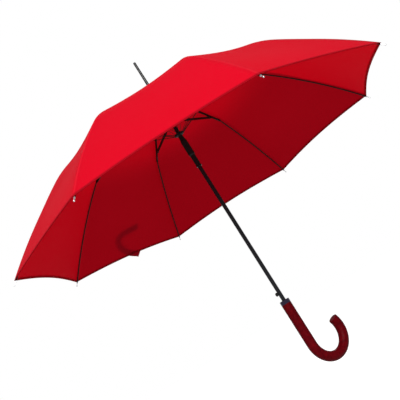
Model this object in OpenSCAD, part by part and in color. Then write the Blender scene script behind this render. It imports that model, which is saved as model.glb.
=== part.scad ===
// Stick umbrella, open: an eight-gore canopy on a folding frame, a tubular shaft and a crook handle.
// Millimetres. The origin is on the shaft axis in the middle of the grip, +Z runs up the shaft to the ferrule.
// The heights below are measured from the plane of the canopy's corners, which lift() puts at grip_drop.
// Rib 1 lies along +X and the others follow anticlockwise seen from above.

/* [Canopy] */
// Radius from the shaft axis to the fabric's corners
canopy_radius = 515; // [480:560]
// How far the hem curves inwards between two corners, along the cloth
hem_rise = 10.5; // [0:60]
// Clear height of the cloth's inner face above the rib's centre line
cloth_stand_off = 3.2; // [2.6:0.1:5]
// Thickness of the solid that stands for the cloth
cloth_thickness = 0.8; // [0.6:0.1:2]
// Radius of the hole in the cloth around the shaft
cloth_hole_radius = 6.4; // [6:0.1:9]
// Gap between two neighbouring half gores in the middle of a gore
gore_gap = 0.6; // [0.5:0.1:1]
// Gap between the two half gores that meet at a rib's seam
seam_gap = 0.3; // [0.2:0.1:0.4]

/* [Frame] */
// Number of ribs
rib_count = 8; // [8]
// Height of the rib pivots in the top notch
notch_z = 268; // [262:274]
// Radius of the rib pivots in the top notch
notch_pivot_r = 9; // [8:0.5:10]
// Radius of the rib's middle joint
joint_r = 286; // [276:294]
// Height of the rib's middle joint
joint_z = 189; // [184:194]
// Bend radius of the outer rib rod
rod_bend_r = 1280; // [900:1600]
// Diameter of the outer rib rod
rod_d = 3.3; // [3:0.1:3.8]
// Outer width of the rib's steel channel
channel_w = 3.2; // [2.6:0.1:3.4]
// Height of the rib's steel channel
channel_h = 5.2; // [3.6:0.1:5.6]
// Length of the bright tip beyond the cloth
tip_length = 12; // [8:20]
// Diameter of the ball on the rib's tip
tip_ball_d = 3.4; // [3:0.2:6]

/* [Stretchers] */
// Height of the stretcher pivots on the upper boss
boss_z = 180.5; // [170:190]
// Radius of the stretcher pivots on the upper boss
boss_pivot_r = 9; // [8:0.5:10]
// Radius of the stretcher's outer pivot
stretcher_end_r = 234; // [225:240]
// Height of the stretcher's outer pivot
stretcher_end_z = 198; // [196:199]
// Distance from the boss pivot to the link's pivot on the stretcher
link_seat = 94; // [80:110]
// Height of the link pivots on the runner
runner_z = 139; // [130:150]
// Radius of the link pivots on the runner
runner_pivot_r = 12; // [11:0.5:13]
// Diameter of the link's wire
wire_d = 1.1; // [0.9:0.1:1.4]

/* [Shaft and runner] */
// Diameter of the shaft tube
shaft_d = 10; // [8:0.5:14]
// Wall of the shaft tube
shaft_wall = 0.8; // [0.6:0.1:1.2]
// Height of the runner's lower end
runner_bottom_z = 41; // [30:60]
// Height of the step between the runner's two diameters
runner_step_z = 77; // [60:90]
// Radial clearance of the runner and the boss on the shaft
slide_clearance = 0.08; // [0.02:0.01:0.1]
// Height of the ferrule's free end
ferrule_end_z = 366.7; // [350:380]
// Radius of the ferrule's free end
ferrule_end_r = 3.4; // [3:0.1:4]

/* [Handle] */
// Diameter of the handle
handle_d = 24.5; // [20:0.5:27]
// Height of the collar's upper edge
collar_top_z = -345.8; // [-360:-330]
// Length of the collar
collar_length = 10; // [6:16]
// Height where the crook starts to bend
bend_start_z = -466.3; // [-480:-450]
// Radius of the crook's bend, to the middle of the handle
bend_r = 51.4; // [45:60]
// Angle of the crook's bend
bend_angle = 205.7; // [170:220]
// Distance from the middle of the grip, the origin, up to the plane of the canopy's corners
grip_drop = 411; // [400:420]
// Direction of the crook around the shaft, from rib 1
crook_azimuth = 63.5; // [0:0.5:360]
// Height of the release button
button_z = -326.5; // [-335:-310]

/* [Hidden] */
$fn = 48;
steel_black = [0.07, 0.07, 0.08];
plastic_black = [0.05, 0.05, 0.06];
bright_steel = [0.72, 0.72, 0.74];
cloth_red = [0.78, 0.04, 0.10];
grip_red = [0.42, 0.02, 0.07];
step_angle = 360 / rib_count;
half_gore = step_angle / 2;
shaft_r = shaft_d / 2;
slide_r = shaft_r + slide_clearance;
ring_wire_r = 0.5;
eye_bore_r = 0.8;
tiny = 0.02;
shaft_top_z = notch_z + 9;

// The straight inner rib
inner_dx = joint_r - notch_pivot_r;
inner_dz = joint_z - notch_z;
inner_length = norm([inner_dx, inner_dz]);
inner_slope = atan2(-inner_dz, inner_dx);

// The lug that carries the stretcher, along and below the inner rib's centre line
lug_x = stretcher_end_r - notch_pivot_r;
lug_z = stretcher_end_z - notch_z;
lug_s = lug_x * cos(inner_slope) - lug_z * sin(inner_slope);
lug_drop = -lug_x * sin(inner_slope) - lug_z * cos(inner_slope);

// The curved outer rib: an arc from the joint to the corner of the cloth
chord_dx = canopy_radius - joint_r;
chord_length = norm([chord_dx, joint_z]);
half_arc = asin(chord_length / 2 / rod_bend_r);
chord_slope = atan2(joint_z, chord_dx);
arc_cx = (joint_r + canopy_radius) / 2 - sin(chord_slope) * rod_bend_r * cos(half_arc);
arc_cz = joint_z / 2 - cos(chord_slope) * rod_bend_r * cos(half_arc);
arc_start = 90 - chord_slope + half_arc;
arc_end = 90 - chord_slope - half_arc;
arc_length = rod_bend_r * 2 * half_arc * PI / 180;
rib_length = inner_length + arc_length;

// A point of the rib's centre line and its upward normal, at the length s from the notch pivot
function rib_point(s) = s <= inner_length
    ? [notch_pivot_r + s * cos(inner_slope), notch_z - s * sin(inner_slope)]
    : let (a = arc_start - (s - inner_length) / rod_bend_r * 180 / PI)
      [arc_cx + rod_bend_r * cos(a), arc_cz + rod_bend_r * sin(a)];
function rib_normal(s) = s <= inner_length
    ? [sin(inner_slope), cos(inner_slope)]
    : let (a = arc_start - (s - inner_length) / rod_bend_r * 180 / PI) [cos(a), sin(a)];

// A point of the cloth: u is 0 at the rib and 1 in the middle of the gore; v is 0 at the crown, 1 over the
// rib's middle joint and 2 at the hem
cloth_start = (cloth_hole_radius - notch_pivot_r) / cos(inner_slope);
function cloth_point(u, v, lift) =
    let (
        hem = rib_length - hem_rise * (1 - pow(1 - u, 2)),
        s = v < 1 ? cloth_start + (inner_length - cloth_start) * v : inner_length + (hem - inner_length) * (v - 1),
        p = rib_point(s) + rib_normal(s) * lift,
        edge = p[0] * sin(half_gore) - gore_gap / 2,
        full = p[0] * cos(half_gore),
        turn = u * atan2(edge, full),
        r = full / cos(half_gore - turn),
        inner = max(r, cloth_hole_radius)
    )
    [inner * cos(turn), inner * sin(turn), p[1]];

module lift() {
    translate([0, 0, grip_drop]) children();
}

module in_rib(i) {
    rotate([0, 0, step_angle * (i - 1)]) children();
}

// A plate in the rib's plane: the outline's x is the radius and its y the height
module plate(thickness, y = 0) {
    translate([0, y + thickness / 2, 0]) rotate([90, 0, 0]) linear_extrude(thickness) children();
}

// A bar seen from the side, from a to b, with round ends
module bar_outline(a, b, w) {
    d = b - a;
    translate(a) circle(d = w);
    translate(b) circle(d = w);
    translate(a) rotate(atan2(d[1], d[0])) translate([0, -w / 2]) square([norm(d), w]);
}

module shaft_tube() {
    color(steel_black) lift() difference() {
        translate([0, 0, -392]) cylinder(h = shaft_top_z + 392, r = shaft_r);
        translate([0, 0, -392 - 1]) cylinder(h = shaft_top_z + 392 + 2, r = shaft_r - shaft_wall);
        rotate([0, 0, crook_azimuth + 180]) translate([0, 0, button_z]) rotate([0, 90, 0])
            cylinder(h = shaft_d, r = 2.1);
    }
}

module ferrule() {
    color(steel_black) lift() rotate_extrude() polygon([
        [0, shaft_top_z + tiny], [5.2, shaft_top_z + tiny], [5.2, shaft_top_z + 3], [4.4, shaft_top_z + 5],
        [3.95, shaft_top_z + 8], [ferrule_end_r, 340],
        [ferrule_end_r, ferrule_end_z - 0.6], [ferrule_end_r - 0.6, ferrule_end_z], [0, ferrule_end_z]
    ]);
}

module crown_cap() {
    color(plastic_black) lift() rotate_extrude() polygon([
        [5.3, notch_z + 6], [9, notch_z + 6], [9, notch_z + 6.8], [7.4, notch_z + 8.4], [5.3, notch_z + 9]
    ]);
}

module top_notch() {
    color(plastic_black) lift() difference() {
        translate([0, 0, notch_z - 8]) cylinder(h = 10, r = 11.2);
        translate([0, 0, notch_z - 9]) cylinder(h = 12, r = shaft_r + tiny);
        for (i = [1:rib_count]) in_rib(i) translate([6.6, -2, notch_z - 9]) cube([6, 4, 12]);
        translate([0, 0, notch_z]) rotate_extrude() translate([notch_pivot_r, 0]) circle(r = ring_wire_r + tiny);
    }
}

module notch_wire() {
    color(bright_steel) lift() translate([0, 0, notch_z]) rotate_extrude()
        translate([notch_pivot_r, 0]) circle(r = ring_wire_r, $fn = 16);
}

module handle_crook() {
    grip_r = handle_d / 2;
    color(grip_red) lift() rotate([0, 0, crook_azimuth]) difference() {
        union() {
            translate([0, 0, bend_start_z])
                cylinder(h = collar_top_z - collar_length - tiny - bend_start_z, r = grip_r);
            translate([bend_r, 0, bend_start_z]) rotate([90, 0, 0]) {
                rotate([0, 0, 180]) rotate_extrude(angle = bend_angle) translate([bend_r, 0]) circle(r = grip_r);
                rotate([0, 0, 180 + bend_angle]) translate([bend_r, 0, 0]) rotate([-90, 0, 0])
                    cylinder(h = 1.4, r1 = grip_r, r2 = grip_r - 1.6);
            }
        }
        translate([0, 0, -394]) cylinder(h = 60, r = shaft_r + tiny);
    }
}

module handle_collar() {
    z0 = collar_top_z - collar_length;
    collar_r = handle_d / 2 + 0.2;
    color(plastic_black) lift() rotate_extrude() polygon([
        [shaft_r + tiny, z0], [collar_r, z0], [collar_r, collar_top_z - 0.8], [collar_r - 0.8, collar_top_z],
        [shaft_r + tiny, collar_top_z]
    ]);
}

module release_button() {
    color(plastic_black) lift() rotate([0, 0, crook_azimuth + 180]) translate([0, 0, button_z]) rotate([0, 90, 0]) {
        translate([0, 0, -1]) cylinder(h = 10, r = 1.9);
        translate([0, 0, 8.3]) cylinder(h = 2, r = 4.6);
        translate([0, 0, 10.3]) cylinder(h = 1, r1 = 4.6, r2 = 3.6);
    }
}

module runner_sleeve() {
    color(plastic_black) lift() difference() {
        union() {
            rotate_extrude() polygon([
                [slide_r, runner_bottom_z], [7.3, runner_bottom_z], [7.3, runner_bottom_z + 3],
                [6.5, runner_bottom_z + 4], [6.5, runner_step_z - 3], [8.25, runner_step_z],
                [8.25, runner_z - 22], [7.2, runner_z - 19], [6.1, runner_z - 10], [6.1, runner_z - 5],
                [10.6, runner_z - 3], [10.6, runner_z + 3], [slide_r, runner_z + 3]
            ]);
            for (i = [1:rib_count]) in_rib(i) plate(2.4)
                polygon([[9, runner_z - 2.6], [runner_pivot_r + 1.2, runner_z - 1.6],
                    [runner_pivot_r + 1.5, runner_z], [runner_pivot_r + 1.2, runner_z + 1.6], [9, runner_z + 2.6]]);
        }
        for (i = [1:rib_count]) in_rib(i) translate([runner_pivot_r, 0, runner_z]) rotate([90, 0, 0])
            cylinder(h = 4, r = wire_d / 2 + 0.1, center = true);
    }
}

module stretcher_boss() {
    color(plastic_black) lift() difference() {
        rotate_extrude() polygon([
            [slide_r, boss_z - 3], [10.8, boss_z - 3], [10.8, boss_z + 3], [6.5, boss_z + 5],
            [6.5, boss_z + 18], [slide_r, boss_z + 18]
        ]);
        for (i = [1:rib_count]) in_rib(i) translate([6.5, -1.5, boss_z - 4]) cube([6, 3, 12]);
        translate([0, 0, boss_z]) rotate_extrude() translate([boss_pivot_r, 0]) circle(r = ring_wire_r + tiny);
    }
}

module boss_wire() {
    color(bright_steel) lift() translate([0, 0, boss_z]) rotate_extrude()
        translate([boss_pivot_r, 0]) circle(r = ring_wire_r, $fn = 16);
}

// Inner rib: an open-bottomed channel with a flat eye at the notch and a forked clip at the middle joint
module rib_channel(i) {
    body_end = inner_length - 20;
    color(steel_black) lift() in_rib(i) difference() {
        union() {
            translate([notch_pivot_r, 0, notch_z]) rotate([0, inner_slope, 0]) {
                translate([3.2, -channel_w / 2, -channel_h / 2]) cube([body_end - 3.2, channel_w, channel_h]);
                rotate([90, 0, 0]) cylinder(h = 2.6, r = 1.9, center = true);
                translate([0, -1.3, -1.2]) cube([6, 2.6, 2.4]);
                plate(3.4) polygon([
                    [body_end - 4, -2.4], [body_end - 4, 2.5], [inner_length - 1, 2.5], [inner_length + 3, 0.4],
                    [inner_length + 3, -2], [inner_length + 1, -2.9], [inner_length - 12, -2.9]
                ]);
                plate(3.4) polygon([
                    [lug_s - 12, -1.5], [lug_s - 3.4, -lug_drop - 3], [lug_s, -lug_drop - 4],
                    [lug_s + 3.2, -lug_drop - 2.8], [lug_s + 9, -1.5]
                ]);
            }
        }
        translate([notch_pivot_r, 0, notch_z]) rotate([0, inner_slope, 0]) {
            rotate([90, 0, 0]) cylinder(h = 6, r = eye_bore_r, center = true);
            translate([9, -channel_w / 2 + 0.6, -channel_h]) cube([body_end - 15, channel_w - 1.2, channel_h + 1.4]);
            translate([inner_length - 5.5, -1, -4]) cube([12, 2, 9]);
            translate([inner_length, 0, 0]) rotate([90, 0, 0]) cylinder(h = 6, r = 0.85, center = true);
        }
    }
}

// Outer rib: a flat eye between the clip's cheeks, then a round rod along the arc
module rib_rod(i) {
    rod_clear = 8.4 / rod_bend_r * 180 / PI;
    color(steel_black) lift() in_rib(i) {
        plate(1.7) union() {
            translate([joint_r, joint_z]) circle(r = 2);
            bar_outline([joint_r, joint_z], rib_point(inner_length + 9), 2.4);
        }
        translate([arc_cx, 0, arc_cz]) rotate([90, 0, 0]) rotate([0, 0, arc_end])
            rotate_extrude(angle = arc_start - arc_end - rod_clear, $fn = 160) translate([rod_bend_r, 0])
                circle(d = rod_d, $fn = 14);
        // the rivet of the middle joint
        translate([joint_r, 0, joint_z]) rotate([90, 0, 0]) cylinder(h = 3.4, r = 0.75, center = true);
    }
}

module rib_tip(i) {
    color(bright_steel) lift() in_rib(i) translate([arc_cx, 0, arc_cz]) rotate([90, 0, 0]) {
        rotate([0, 0, arc_end]) translate([rod_bend_r, -tiny, 0]) rotate([90, 0, 0]) {
            cylinder(h = tip_length - 2, r = 0.9);
            cylinder(h = 2.5, r = rod_d / 2 + 0.1);
            translate([0, 0, tip_length - tip_ball_d / 2]) sphere(d = tip_ball_d, $fn = 24);
        }
    }
}

// Stretcher: two side plates joined by a block, with a tongue and an eye at the boss
module stretcher(i) {
    a = [boss_pivot_r, boss_z];
    b = [stretcher_end_r, stretcher_end_z];
    along = (b - a) / norm(b - a);
    color(steel_black) lift() in_rib(i) {
        difference() {
            union() {
                plate(2.4) bar_outline(a, a + along * 17, 3.4);
                plate(5.5) bar_outline(a + along * 15, a + along * 19, 4.2);
            }
            translate([a[0], 0, a[1]]) rotate([90, 0, 0]) cylinder(h = 8, r = eye_bore_r, center = true);
        }
        for (side = [-1, 1]) {
            plate(0.8, side * 2.35) union() {
                bar_outline(a + along * 16, b, 3.8);
                translate(b) circle(r = 3.1);
            }
            translate([b[0], side * 3, b[1]]) rotate([90, 0, 0]) cylinder(h = 0.6, r = 1.6, center = true);
            translate([a[0] + along[0] * link_seat, side * 2.85, a[1] + along[1] * link_seat]) rotate([90, 0, 0])
                cylinder(h = 0.3, r = 1.4, center = true);
        }
    }
}

// Link: two wires joined by the cross wire that turns in the runner's ear
module link(i) {
    a = [runner_pivot_r, runner_z];
    s = [boss_pivot_r, boss_z];
    b = s + ([stretcher_end_r, stretcher_end_z] - s) / norm([stretcher_end_r, stretcher_end_z] - s) * link_seat;
    d = b - a;
    color(steel_black) lift() in_rib(i) {
        translate([a[0], 0, a[1]]) rotate([90, 0, 0]) cylinder(h = 7.4, r = wire_d / 2, center = true, $fn = 16);
        for (side = [-1, 1]) {
            translate([a[0], side * 3.7, a[1]]) rotate([0, 90 - atan2(d[1], d[0]), 0])
                cylinder(h = norm(d), r = wire_d / 2, $fn = 16);
            translate([a[0], side * 3.7, a[1]]) sphere(r = wire_d / 2, $fn = 16);
            translate([b[0], side * 3.7, b[1]]) rotate([90, 0, 0])
                difference() {
                    cylinder(h = 0.9, r = 1.9, center = true);
                    cylinder(h = 2, r = 0.8, center = true);
                }
        }
    }
}

// Two half gores that meet at the seam over a rib, each a thin closed solid
module canopy(i) {
    across = 3;
    upper_rows = 6;
    along = 2 * upper_rows;
    columns = across + 1;
    rows = along + 1;
    layer = columns * rows;
    points = [
        for (lift = [cloth_stand_off + cloth_thickness, cloth_stand_off]) for (j = [0:along]) for (k = [0:across])
            cloth_point(k / across, j / upper_rows, lift)
    ];
    function at(l, j, k) = l * layer + j * columns + k;
    faces = [
        for (j = [0:along - 1]) for (k = [0:across - 1]) each [
            [at(0, j, k), at(0, j, k + 1), at(0, j + 1, k + 1)],
            [at(0, j, k), at(0, j + 1, k + 1), at(0, j + 1, k)],
            [at(1, j, k), at(1, j + 1, k + 1), at(1, j, k + 1)],
            [at(1, j, k), at(1, j + 1, k), at(1, j + 1, k + 1)]
        ],
        for (k = [0:across - 1]) each [
            [at(0, 0, k), at(1, 0, k), at(1, 0, k + 1)],
            [at(0, 0, k), at(1, 0, k + 1), at(0, 0, k + 1)],
            [at(0, along, k), at(1, along, k + 1), at(1, along, k)],
            [at(0, along, k), at(0, along, k + 1), at(1, along, k + 1)]
        ],
        for (j = [0:along - 1]) each [
            [at(0, j, 0), at(1, j + 1, 0), at(1, j, 0)],
            [at(0, j, 0), at(0, j + 1, 0), at(1, j + 1, 0)],
            [at(0, j, across), at(1, j, across), at(1, j + 1, across)],
            [at(0, j, across), at(1, j + 1, across), at(0, j + 1, across)]
        ]
    ];
    color(cloth_red) lift() in_rib(i) for (side = [0, 1]) mirror([0, side, 0]) translate([0, seam_gap / 2, 0])
        polyhedron(points = points, faces = faces, convexity = 4);
}

// Tie strap, sewn on outside the hem beside rib 4
module tie_strap() {
    foot = cloth_point(0.86, 2, cloth_stand_off + cloth_thickness);
    color(cloth_red) lift() in_rib(4) translate([foot[0], foot[1], foot[2]]) rotate([0, 0, half_gore])
        rotate([0, -38, 0]) translate([1.6, -8, -1]) cube([1.2, 16, 66]);
}

shaft_tube();
ferrule();
crown_cap();
top_notch();
notch_wire();
handle_crook();
handle_collar();
release_button();
runner_sleeve();
stretcher_boss();
boss_wire();
tie_strap();
rib_channel(1);  // rib_channel_1
rib_channel(2);  // rib_channel_2
rib_channel(3);  // rib_channel_3
rib_channel(4);  // rib_channel_4
rib_channel(5);  // rib_channel_5
rib_channel(6);  // rib_channel_6
rib_channel(7);  // rib_channel_7
rib_channel(8);  // rib_channel_8
rib_rod(1);  // rib_rod_1
rib_rod(2);  // rib_rod_2
rib_rod(3);  // rib_rod_3
rib_rod(4);  // rib_rod_4
rib_rod(5);  // rib_rod_5
rib_rod(6);  // rib_rod_6
rib_rod(7);  // rib_rod_7
rib_rod(8);  // rib_rod_8
rib_tip(1);  // rib_tip_1
rib_tip(2);  // rib_tip_2
rib_tip(3);  // rib_tip_3
rib_tip(4);  // rib_tip_4
rib_tip(5);  // rib_tip_5
rib_tip(6);  // rib_tip_6
rib_tip(7);  // rib_tip_7
rib_tip(8);  // rib_tip_8
stretcher(1);  // stretcher_1
stretcher(2);  // stretcher_2
stretcher(3);  // stretcher_3
stretcher(4);  // stretcher_4
stretcher(5);  // stretcher_5
stretcher(6);  // stretcher_6
stretcher(7);  // stretcher_7
stretcher(8);  // stretcher_8
link(1);  // link_1
link(2);  // link_2
link(3);  // link_3
link(4);  // link_4
link(5);  // link_5
link(6);  // link_6
link(7);  // link_7
link(8);  // link_8
canopy(1);  // canopy_1
canopy(2);  // canopy_2
canopy(3);  // canopy_3
canopy(4);  // canopy_4
canopy(5);  // canopy_5
canopy(6);  // canopy_6
canopy(7);  // canopy_7
canopy(8);  // canopy_8
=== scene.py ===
import math
import bpy
import numpy as np
from mathutils import Matrix, Vector


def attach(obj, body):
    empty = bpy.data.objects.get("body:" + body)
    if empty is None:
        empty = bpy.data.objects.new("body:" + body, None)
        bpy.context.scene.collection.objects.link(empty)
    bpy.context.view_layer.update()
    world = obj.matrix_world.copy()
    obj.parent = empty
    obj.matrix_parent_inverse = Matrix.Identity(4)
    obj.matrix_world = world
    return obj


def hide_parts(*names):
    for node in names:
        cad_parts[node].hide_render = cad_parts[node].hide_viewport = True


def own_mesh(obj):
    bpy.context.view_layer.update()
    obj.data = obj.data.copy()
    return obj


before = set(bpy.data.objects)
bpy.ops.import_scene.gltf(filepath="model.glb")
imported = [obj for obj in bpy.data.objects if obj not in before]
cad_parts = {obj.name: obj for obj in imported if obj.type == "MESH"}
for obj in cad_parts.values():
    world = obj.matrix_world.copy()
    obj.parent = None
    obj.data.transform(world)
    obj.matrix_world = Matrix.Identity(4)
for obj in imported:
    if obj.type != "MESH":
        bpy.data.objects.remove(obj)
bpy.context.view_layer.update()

# The room: a plain pale floor under the umbrella, white all round, with one strong soft lamp high in front on
# the right and a weak one on the left. The camera stands beside the grip and looks up towards the canopy, so
# that some gores are seen from outside and the others from inside.
white_floor = bpy.data.materials.new("white_floor")
white_floor.use_nodes = True
floor_paint = white_floor.node_tree.nodes["Principled BSDF"]
floor_paint.inputs["Base Color"].default_value = (0.35, 0.35, 0.35, 1)
floor_paint.inputs["Roughness"].default_value = 0.8
floor_paint.inputs["Emission Color"].default_value = (1, 1, 1, 1)
floor_paint.inputs["Emission Strength"].default_value = 0.65
bpy.ops.mesh.primitive_plane_add(size=60, location=(0, 0, -0.42))
floor = bpy.context.object
floor.name = "floor"
floor.data.materials.append(white_floor)

world = bpy.data.worlds.new("white_room")
bpy.context.scene.world = world
world.use_nodes = True
world.node_tree.nodes["Background"].inputs["Color"].default_value = (1, 1, 1, 1)
world.node_tree.nodes["Background"].inputs["Strength"].default_value = 1.0
bpy.context.scene.view_settings.view_transform = "Standard"


def lamp(name, at, towards, size, power):
    light = bpy.data.lights.new(name, "AREA")
    light.size, light.energy = size, power
    o = bpy.data.objects.new(name, light)
    bpy.context.scene.collection.objects.link(o)
    o.location = at
    o.rotation_euler = (Vector(towards) - Vector(at)).to_track_quat("-Z", "Y").to_euler()


lamp("key", (1.5, -2.2, 2.1), (0, 0, 0.5), 1.5, 520)
lamp("fill", (-1.5, -2.6, 1.5), (0, 0, 0.4), 1.2, 60)

eye = bpy.data.cameras.new("eye")
eye.sensor_width, eye.lens = 36, 59.44
camera = bpy.data.objects.new("eye", eye)
bpy.context.scene.collection.objects.link(camera)
bpy.context.scene.camera = camera
right, up, back = (0.71057, 0.47528, -0.51884), (0.54893, 0.08685, 0.83134), (0.44018, -0.87554, -0.19919)
stand = Matrix.Translation((0.67867, -1.44612, 0.05395))
camera.matrix_world = stand @ Matrix([right, up, back]).transposed().to_4x4()

# The shaft: one steel tube in gloss black enamel that runs from the handle through the runner and the boss
# to the ferrule. Its lacquer is slightly uneven along the length.


class Signal:
    """One socket of a material, so that its maths can be written as plain sums."""

    def __init__(self, paint, socket):
        self.paint, self.socket = paint, socket

    def math(self, operation, *values):
        return self.paint.node("ShaderNodeMath", {"operation": operation}, dict(enumerate(values)))

    def __add__(self, other):
        return self.math("ADD", self, other)

    def __mul__(self, other):
        return self.math("MULTIPLY", self, other)

    def __sub__(self, other):
        return self.math("SUBTRACT", self, other)

    def __lt__(self, other):
        return self.math("LESS_THAN", self, other)

    def __gt__(self, other):
        return self.math("GREATER_THAN", self, other)


class Finish:
    """A material with one Principled surface. Constants are set as it is made."""

    def __init__(self, name, colour, roughness, **fixed):
        self.material = bpy.data.materials.new(name)
        self.material.use_nodes = True
        self.tree = self.material.node_tree
        self.surface = self.tree.nodes["Principled BSDF"]
        self.set("Base Color", (*colour, 1))
        self.set("Roughness", roughness)
        for socket, value in fixed.items():
            self.set(socket.replace("_", " "), value)

    def set(self, socket, value):
        self.join(self.surface.inputs[socket], value)

    def join(self, socket, value):
        if isinstance(value, Signal):
            self.tree.links.new(value.socket, socket)
        else:
            socket.default_value = value

    def node(self, kind, settings, sockets, out=0):
        n = self.tree.nodes.new(kind)
        for key, value in settings.items():
            setattr(n, key, value)
        for key, value in sockets.items():
            self.join(n.inputs[key], value)
        return Signal(self, n.outputs[out])

    def place(self):
        return self.node("ShaderNodeTexCoord", {}, {}, "Object")

    def noise(self, scale, detail=3, stretch=None):
        where = self.place()
        if stretch:
            where = self.node("ShaderNodeMapping", {}, {"Vector": where, "Scale": stretch})
        sockets = {"Vector": where, "Scale": scale, "Detail": detail}
        return self.node("ShaderNodeTexNoise", {}, sockets, "Fac")

    def blend(self, share, a, b):
        a, b = ((*c, 1) if isinstance(c, tuple) else c for c in (a, b))
        return self.node("ShaderNodeMix", {"data_type": "RGBA"}, {0: share, 6: a, 7: b}, 2)

    def bump(self, height, distance, strength):
        sockets = {"Height": height, "Distance": distance, "Strength": strength}
        self.set("Normal", self.node("ShaderNodeBump", {}, sockets))

    def on(self, *names):
        for name in names:
            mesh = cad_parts[name].data
            mesh.materials.clear()
            mesh.materials.append(self.material)


enamel = Finish("black_enamel", (0.004, 0.004, 0.005), 0.2, Specular_IOR_Level=0.09)
enamel.set("Roughness", enamel.noise(90) * 0.12 + 0.14)
enamel.bump(enamel.noise(240, 2), 0.00012, 0.25)
enamel.on("shaft_tube")

# The ferrule: a long turned steel spike, dark nickel plated and polished, pressed on the end of the shaft
# over the crown. Fine turning marks run round it.
dark_nickel = Finish("dark_nickel", (0.003, 0.003, 0.003), 0.1, Specular_IOR_Level=0.05)
dark_nickel.set("Roughness", dark_nickel.noise(60, 3, stretch=(1, 1, 24)) * 0.1 + 0.05)
dark_nickel.bump(dark_nickel.noise(80, 2, stretch=(0.2, 0.2, 20)), 0.00002, 0.05)
dark_nickel.on("ferrule")

# The handle: a moulded grip with a leather-like soft coat, bent into a crook. The coat is deep red, with a
# fine pebbled grain that catches the light in spots.
soft_grip = Finish("red_soft_grip", (0.09, 0.001, 0.003), 0.5, Specular_IOR_Level=0.012)
grain = soft_grip.noise(420, 4)
clouds = soft_grip.noise(150, 2)
soft_grip.set("Base Color", soft_grip.blend(clouds * 1.6 - 0.3, (0.016, 0.0, 0.0005), (0.042, 0.0002, 0.001)))
soft_grip.set("Roughness", grain * 0.3 + 0.28)
soft_grip.bump(grain + clouds * 1.4, 0.0008, 0.6)
soft_grip.on("handle_crook")

# The collar: a short polished metal sleeve that closes the joint between the shaft and the handle, plated
# dark with a faint violet cast.
violet_plate = Finish("violet_plate", (0.024, 0.018, 0.036), 0.14, Metallic=0.95)
violet_plate.set("Roughness", violet_plate.noise(70, 3, stretch=(1, 1, 9)) * 0.14 + 0.08)
violet_plate.on("handle_collar")

# The moulded parts of the frame: the top notch, the crown cap, the boss, the runner and the release button
# are black nylon with a satin skin.
nylon = Finish("black_nylon", (0.004, 0.004, 0.004), 0.34, Specular_IOR_Level=0.05)
nylon.set("Roughness", nylon.noise(130, 3) * 0.2 + 0.24)
nylon.bump(nylon.noise(600, 2), 0.00015, 0.3)
nylon.on("crown_cap", "top_notch", "stretcher_boss", "runner_sleeve", "release_button")

# The wires that the ribs and the stretchers turn on are plain zinc-coated steel.
zinc = Finish("zinc_wire", (0.5, 0.5, 0.5), 0.35, Metallic=1.0)
zinc.set("Roughness", zinc.noise(300) * 0.25 + 0.25)
zinc.on("notch_wire", "boss_wire")

# The frame: channel ribs and side-plate stretchers pressed from steel strip, wire links and round outer
# rods, all painted black, and the bright tips that are pressed on the rods' ends.
painted = Finish("frame_paint", (0.003, 0.002, 0.002), 0.38, Specular_IOR_Level=0.04)
painted.set("Roughness", painted.noise(110) * 0.22 + 0.26)
painted.bump(painted.noise(500, 2), 0.0001, 0.3)
tip_plate = Finish("tip_plate", (0.28, 0.28, 0.29), 0.3, Metallic=1.0)
tip_plate.set("Roughness", tip_plate.noise(400) * 0.2 + 0.22)
for i in range(1, 9):
    painted.on(f"rib_channel_{i}", f"rib_rod_{i}", f"stretcher_{i}", f"link_{i}")
    tip_plate.on(f"rib_tip_{i}")

# The canopy: eight gores of thin plain-woven red polyester, seamed together over the ribs and stretched
# between them, with a narrow turned-up hem. Each gore is made as two halves, and each half in an upper piece
# that moves with the rib and a lower piece that moves with the flexible rod.
RISE = 0.411  # the plane of the canopy's corners above the grip
CROWN_START, CROWN_HOLE = 0.0064, 0.0062  # the radii where the cloth begins and that it never goes inside
HALF = math.pi / 8
NOTCH, JOINT, CORNER, BEND = (0.009, 0.268), (0.286, 0.189), 0.515, 1.28
LIFT, HEM_RISE, SAG, HEM_WIDTH = 0.0037, 0.0105, 0.0056, 0.006
SHOULDER, PAD, PAD_REACH = 0.045, 0.0041, 0.15
inner_length = math.dist(NOTCH, JOINT)
inner_slope = math.atan2(NOTCH[1] - JOINT[1], JOINT[0] - NOTCH[0])
half_arc = math.asin(math.hypot(CORNER - JOINT[0], JOINT[1]) / 2 / BEND)
chord_slope = math.atan2(JOINT[1], CORNER - JOINT[0])
arc_from = math.pi / 2 - chord_slope + half_arc
arc_x = (JOINT[0] + CORNER) / 2 - math.sin(chord_slope) * BEND * math.cos(half_arc)
arc_z = JOINT[1] / 2 - math.cos(chord_slope) * BEND * math.cos(half_arc)
rib_length = inner_length + BEND * 2 * half_arc
crown = (CROWN_START - NOTCH[0]) / math.cos(inner_slope)


def rib_centre(s):
    """The rib's centre line, as radius and height, at the length s from the notch."""
    a = arc_from - np.maximum(s - inner_length, 0) / BEND
    straight = s <= inner_length
    return np.stack([np.where(straight, NOTCH[0] + s * math.cos(inner_slope), arc_x + BEND * np.cos(a)),
                     np.where(straight, NOTCH[1] - s * math.sin(inner_slope), arc_z + BEND * np.sin(a))])


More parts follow.
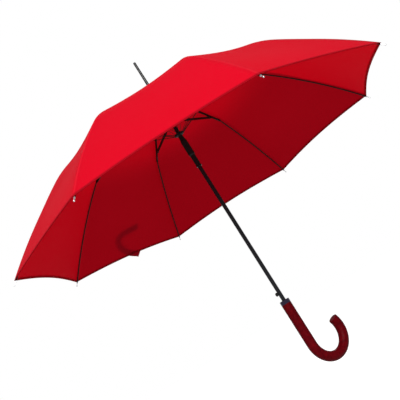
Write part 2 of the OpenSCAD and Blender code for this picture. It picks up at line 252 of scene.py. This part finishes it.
def rib_line(s):
    """The line that the cloth follows over a rib, with a shoulder at the middle joint, and its normal."""
    def rounded(s):
        t = np.clip((s - inner_length) / SHOULDER, -1, 1) / 2 + 0.5
        before, middle, after = (rib_centre(np.array(inner_length + d)) for d in (-SHOULDER, 0, SHOULDER))
        over = [(1 - t) ** 2 * before[k] + 2 * t * (1 - t) * middle[k] + t * t * after[k] for k in (0, 1)]
        return np.where(np.abs(s - inner_length) < SHOULDER, np.stack(over), rib_centre(s))
    e = 1e-4
    ahead = rounded(s + e) - rounded(s - e)
    ahead /= np.hypot(*ahead)
    pad = PAD * np.cos(np.clip(np.abs(s - inner_length) / PAD_REACH, 0, 1) * math.pi / 2) ** 2
    r, z = rounded(s) + pad * np.stack([-ahead[1], ahead[0]])
    return r, z, -ahead[1], ahead[0]


def cloth(rib, u, s, lift=0.0):
    """Points of the cloth at s along a rib. u is 0 on the rib and 1 or -1 in the middle of the gore."""
    r, z, nr, nz = rib_line(s)
    across = 1 - (1 - np.abs(u)) ** 2
    sag = SAG * across * np.sin(np.clip(s / rib_length, 0, 1) * math.pi)
    r, z = r + nr * (LIFT + lift - sag), z + nz * (LIFT + lift - sag)
    turn = np.abs(u) * HALF
    r = np.maximum(r * math.cos(HALF) / np.cos(HALF - turn), CROWN_HOLE)
    a = (rib - 1) * math.pi / 4 + np.sign(u) * turn
    return np.stack([r * np.cos(a), r * np.sin(a), z + RISE], -1)


def cloth_normal(rib, u, s):
    side = np.where(u < 0, -1.0, 1.0)
    e = 1e-3
    u0 = side * np.clip(np.abs(u), 2 * e, 1 - 2 * e)
    across = cloth(rib, u0 + e, s) - cloth(rib, u0 - e, s)
    mid = np.abs(u)[..., None] > 0.995  # across the middle of the gore the two halves share one direction
    a = (rib - 1) * math.pi / 4 + side * HALF
    level = np.stack([-np.sin(a), np.cos(a), np.zeros_like(a)], -1)
    across = np.where(mid, level, across)
    n = np.cross(cloth(rib, u0, s + e) - cloth(rib, u0, s - e), across)
    return n / np.linalg.norm(n, axis=-1, keepdims=True)


def surface_mesh(name, points, normals, cut, finish):
    """A grid of points as one smooth sheet. cut holds each point's place on the flat cloth, in metres."""
    rows, columns = points.shape[:2]
    k = np.arange(rows * columns).reshape(rows, columns)
    faces = np.stack([k[:-1, :-1], k[1:, :-1], k[1:, 1:], k[:-1, 1:]], -1).reshape(-1, 4)
    mesh = bpy.data.meshes.new(name)
    mesh.from_pydata(points.reshape(-1, 3).tolist(), [], faces.tolist())
    flat = mesh.uv_layers.new(name="cut")
    flat.data.foreach_set("uv", cut.reshape(-1, 2)[faces.reshape(-1)].reshape(-1).astype(np.float32))
    mesh.polygons.foreach_set("use_smooth", [True] * len(faces))
    if normals is not None:
        mesh.normals_split_custom_set_from_vertices(normals.reshape(-1, 3).tolist())
    mesh.materials.append(finish)
    o = bpy.data.objects.new(name, mesh)
    bpy.context.scene.collection.objects.link(o)
    return o


def area_of(points):
    a, b = points[1:, 1:] - points[:-1, :-1], points[1:, :-1] - points[:-1, 1:]
    return float(np.linalg.norm(np.cross(a, b), axis=-1).sum() / 2)


SEAM_HALF, STITCH_UP, STITCH_HALF, STITCH_PITCH = 0.0024, 0.0052, 0.0005, 2000
polyester = Finish("red_polyester", (0.42, 0.002, 0.006), 0.62, Specular_IOR_Level=0.012)
place = polyester.node("ShaderNodeUVMap", {"uv_map": "cut"}, {})
across_cloth = polyester.node("ShaderNodeSeparateXYZ", {}, {0: place}, 0)
to_hem = polyester.node("ShaderNodeSeparateXYZ", {}, {0: place}, 1)
seam = across_cloth.math("ABSOLUTE", across_cloth) < SEAM_HALF
stitch_row = to_hem.math("ABSOLUTE", to_hem - STITCH_UP) < STITCH_HALF
stitch_row = stitch_row * (across_cloth.math("SINE", across_cloth * STITCH_PITCH) > -0.4)
hem = to_hem < HEM_WIDTH
shade = polyester.noise(9, 2) * 0.5 + polyester.noise(1400, 2) * 0.3
red = polyester.blend(shade, (0.14, 0.0003, 0.003), (0.165, 0.0004, 0.005))
# Painted highlight: the band along each seam is painted a lighter red, and the hem a little lighter as a
# painted light rim.
red = polyester.blend(hem * 0.1 + seam * 0.16, red, (0.34, 0.012, 0.02))
red = polyester.blend(stitch_row * 0.2, red, (0.07, 0.0002, 0.001))
polyester.set("Base Color", red)
polyester.set("Roughness", polyester.noise(300) * 0.2 + 0.52)
weave = polyester.noise(2600, 1)
pucker = polyester.noise(26, 2) * 2.0
polyester.bump(weave * 0.1 + pucker + seam * 0.4 - stitch_row * 0.3, 0.0012, 0.35)
through = polyester.node("ShaderNodeBsdfTranslucent", {}, {"Color": (0.26, 0.0, 0.002, 1)})
skin = Signal(polyester, polyester.surface.outputs[0])
mixed = polyester.node("ShaderNodeMixShader", {}, {0: hem * 0.3 + 0.4, 1: skin, 2: through})
polyester.tree.links.new(mixed.socket, polyester.tree.nodes["Material Output"].inputs["Surface"])

for rib in range(1, 9):
    for side, hand in ((1, "left"), (-1, "right")):
        for part in ("upper", "lower"):
            u = side * np.linspace(0, 1, 15)
            if part == "upper":
                s = np.broadcast_to(np.linspace(crown, inner_length, 26)[:, None], (26, len(u)))
            else:
                end = rib_length - HEM_RISE * (1 - (1 - np.abs(u)) ** 2)
                v = np.linspace(0, 1, 34)[:, None]
                s = inner_length + (end[None, :] - inner_length) * v
            uu = np.broadcast_to(u[None, :], s.shape)
            points, normals = cloth(rib, uu, s), cloth_normal(rib, uu, s)
            if part == "lower":  # the hem turns back up inside, a thread's thickness below the cloth
                for along, below in ((0.0, -0.0012), (-0.004, -0.0014), (-HEM_WIDTH, -0.0011)):
                    points = np.concatenate([points, cloth(rib, u, end + along, below)[None]])
                    normals = np.concatenate([normals, -cloth_normal(rib, u, end + along)[None]])
                    s = np.concatenate([s, (end + along)[None]])
            reach = rib_line(s)[0] * math.tan(HALF) * np.broadcast_to(np.abs(u), s.shape)
            from_hem = rib_length - HEM_RISE * (1 - (1 - np.abs(u[None, :])) ** 2) - s
            cut = np.stack([reach, from_hem], -1)
            if side < 0:  # every half faces outwards
                points, normals, cut = points[:, ::-1], normals[:, ::-1], cut[:, ::-1]
            gore = surface_mesh(f"gore_{rib}_{hand}_{part}", points, normals, cut, polyester.material)
            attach(gore, f"rib_{rib}" if part == "upper" else f"rod_{rib}")
            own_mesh(gore)
            area_of(points)
            if side > 0 and part == "upper":
                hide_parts(f"canopy_{rib}")

# The tie strap: a short double-layer band of the canopy's own cloth, sewn to the hem beside rib 4. It lies
# loose against the outside of the gore, up from the hem and over in a hook. Each place on its line is given
# in degrees round from rib 4, metres up from the hem and metres off the cloth.
strap_line = [(18.4, 0.0, 0.0012), (19.4, 0.005, 0.0016), (22.2, 0.0155, 0.002), (24.8, 0.03, 0.0025),
              (26.6, 0.046, 0.003), (27.7, 0.062, 0.0035), (27.9, 0.0765, 0.004), (27.0, 0.087, 0.004),
              (24.2, 0.093, 0.0035), (21.3, 0.0958, 0.003), (17.8, 0.0972, 0.0022)]
STRAP_HALF, STRAP_THICK = 0.0093, 0.0007


def smooth_line(points, steps):
    p = np.array([2 * points[0] - points[1], *points, 2 * points[-1] - points[-2]])
    made = []
    for a, b, c, d in zip(p, p[1:], p[2:], p[3:]):
        for t in np.linspace(0, 1, steps, endpoint=False):
            made.append(0.5 * (2 * b + (c - a) * t + (2 * a - 5 * b + 4 * c - d) * t * t
                               + (3 * b - a - 3 * c + d) * t ** 3))
    return np.array(made + [p[-2]])


def beside_hem(degrees, up, off):
    rib, turn = (4, degrees / 22.5) if degrees <= 22.5 else (5, degrees / 22.5 - 2)
    u, s = np.array([turn]), np.array([rib_length - up])
    return cloth(rib, u, s, off)[0], cloth_normal(rib, u, s)[0]


spots = [beside_hem(*p) for p in strap_line]
middle = smooth_line(np.array([p for p, _ in spots]), 5)
lifts = smooth_line(np.array([n for _, n in spots]), 5)
ahead = np.gradient(middle, axis=0)
ahead /= np.linalg.norm(ahead, axis=1, keepdims=True)
wide = np.cross(lifts, ahead)
wide /= np.linalg.norm(wide, axis=1, keepdims=True)
over = np.cross(ahead, wide)
profile = [(-1, 0), (-1, 1), (-0.5, 1.2), (0, 1.2), (0.5, 1.2), (1, 1),
           (1, 0), (0.5, -0.1), (0, -0.1), (-0.5, -0.1), (-1, 0)]
band = np.stack([middle + w * STRAP_HALF * wide + h * STRAP_THICK * over for w, h in profile], 1)
length = np.concatenate([[0], np.cumsum(np.linalg.norm(np.diff(middle, axis=0), axis=1))])
band_cut = np.stack([np.broadcast_to([0.03 + w * STRAP_HALF for w, _ in profile], band.shape[:2]),
                     np.broadcast_to(length[:, None] + 0.02, band.shape[:2])], -1)
strap = surface_mesh("tie_strap_band", band, None, band_cut, polyester.material)
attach(strap, "rod_4")
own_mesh(strap)
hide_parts("tie_strap")
